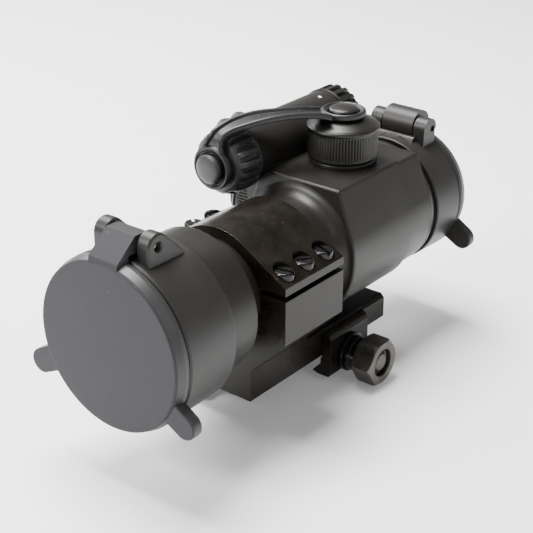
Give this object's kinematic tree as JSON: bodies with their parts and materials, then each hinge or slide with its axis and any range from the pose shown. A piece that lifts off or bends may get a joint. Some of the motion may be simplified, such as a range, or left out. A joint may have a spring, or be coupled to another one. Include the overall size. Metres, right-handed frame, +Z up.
{
  "type": "red dot sight",
  "caption": "Tube-type red dot sight with flip-up lens covers, side battery tube, capped turrets on a tether and a rail clamp mount.",
  "frame": {"origin": "middle of the flat rail seat under the clamp base", "axes": "+Y along the optical axis towards the eye, +Z up from the rail, +X towards the clamp nut"},
  "size_m": [0.0677, 0.1406, 0.0771],
  "materials": {
    "housing_metal": "warm dark grey satin anodised aluminium",
    "mount_paint": "glossy black-brown paint with faint mottling",
    "cover_plastic": "dark grey moulded plastic",
    "lid_plastic": "plain mid grey moulded plastic",
    "coated_glass": "clear coated glass",
    "red_coated_glass": "glass with a faint red mirror coating",
    "bright_steel": "bright steel",
    "gun_steel": "gunmetal steel with bright edges",
    "black_steel": "black oxide steel",
    "seal_rubber": "black rubber",
    "strap_rubber": "grey-black rubber",
    "led_resin": "clear red resin",
    "circuit_board": "green board",
    "white_paint": "white dot"
  },
  "bodies": {
    "root": {"front_tube": "housing_metal", "objective_lens": "coated_glass", "objective_retaining_ring": "housing_metal", "front_cover_ring": "cover_plastic", "front_hinge_pin": "bright_steel", "front_hinge_spring": "bright_steel", "main_housing": "housing_metal", "ocular_lens": "coated_glass", "ocular_retaining_ring": "housing_metal", "rear_cover_ring": "cover_plastic", "rear_hinge_pin": "bright_steel", "rear_hinge_spring": "bright_steel", "inner_tube": "housing_metal", "reflector_lens": "red_coated_glass", "led_emitter": "led_resin", "inner_tube_spring": "bright_steel", "elevation_turret_base": "housing_metal", "windage_turret_base": "housing_metal", "battery_cell": "bright_steel", "battery_spring": "bright_steel", "switch_disc": "circuit_board", "knob_index_dot": "white_paint", "tether_strap": "strap_rubber", "ring_base": "mount_paint", "ring_cap": "mount_paint", "ring_screws": "black_steel", "clamp_stud": "gun_steel"},
    "front_lid": {"front_cover_lid": "lid_plastic"},
    "rear_lid": {"rear_cover_lid": "cover_plastic"},
    "elevation_cap": {"elevation_cap": "housing_metal", "elevation_cap_seal": "seal_rubber"},
    "windage_cap": {"windage_cap": "housing_metal", "windage_cap_seal": "seal_rubber"},
    "elevation_adjuster": {"elevation_adjuster": "bright_steel"},
    "windage_adjuster": {"windage_adjuster": "bright_steel"},
    "battery_cap": {"battery_cap": "housing_metal", "battery_cap_seal": "seal_rubber"},
    "brightness_knob": {"brightness_knob": "housing_metal"},
    "clamp_jaw": {"clamp_jaw": "mount_paint", "clamp_washer": "black_steel", "clamp_spacer": "black_steel"},
    "clamp_nut": {"clamp_nut": "gun_steel"}
  },
  "joints": [
    {"name": "front_lid_hinge", "type": "hinge", "parent": "root", "child": "front_lid", "pos_m": [0, -0.0657, 0.059], "axis": [-1, 0, 0], "range_deg": [0, 150]},
    {"name": "rear_lid_hinge", "type": "hinge", "parent": "root", "child": "rear_lid", "pos_m": [0, 0.0583, 0.0545], "axis": [1, 0, 0], "range_deg": [0, 140]},
    {"name": "elevation_cap_turn", "type": "hinge", "parent": "root", "child": "elevation_cap", "pos_m": [0, 0.0246, 0.06], "axis": [0, 0, 1], "range_deg": [0, 720]},
    {"name": "windage_cap_turn", "type": "hinge", "parent": "root", "child": "windage_cap", "pos_m": [-0.028, 0.0246, 0.032], "axis": [-1, 0, 0], "range_deg": [0, 720]},
    {"name": "elevation_adjuster_turn", "type": "hinge", "parent": "root", "child": "elevation_adjuster", "pos_m": [0, 0.0246, 0.058], "axis": [0, 0, 1], "range_deg": [-360, 360]},
    {"name": "windage_adjuster_turn", "type": "hinge", "parent": "root", "child": "windage_adjuster", "pos_m": [-0.026, 0.0246, 0.032], "axis": [-1, 0, 0], "range_deg": [-360, 360]},
    {"name": "battery_cap_turn", "type": "hinge", "parent": "root", "child": "battery_cap", "pos_m": [-0.0207, -0.004, 0.0552], "axis": [0, -1, 0], "range_deg": [0, 720]},
    {"name": "brightness_knob_turn", "type": "hinge", "parent": "root", "child": "brightness_knob", "pos_m": [-0.0207, 0.048, 0.0552], "axis": [0, 1, 0], "range_deg": [0, 300]},
    {"name": "clamp_jaw_slide", "type": "slide", "parent": "root", "child": "clamp_jaw", "axis": [1, 0, 0], "range_m": [0, 0.004]},
    {"name": "clamp_nut_turn", "type": "hinge", "parent": "clamp_jaw", "child": "clamp_nut", "pos_m": [0.0236, 0.0095, -0.0009], "axis": [1, 0, 0], "range_deg": [0, 1440]}
  ],
  "couplings": [
    {"joint": "clamp_jaw_slide", "follows": "clamp_nut_turn", "m_per_rad": 0.00015915}
  ]
}
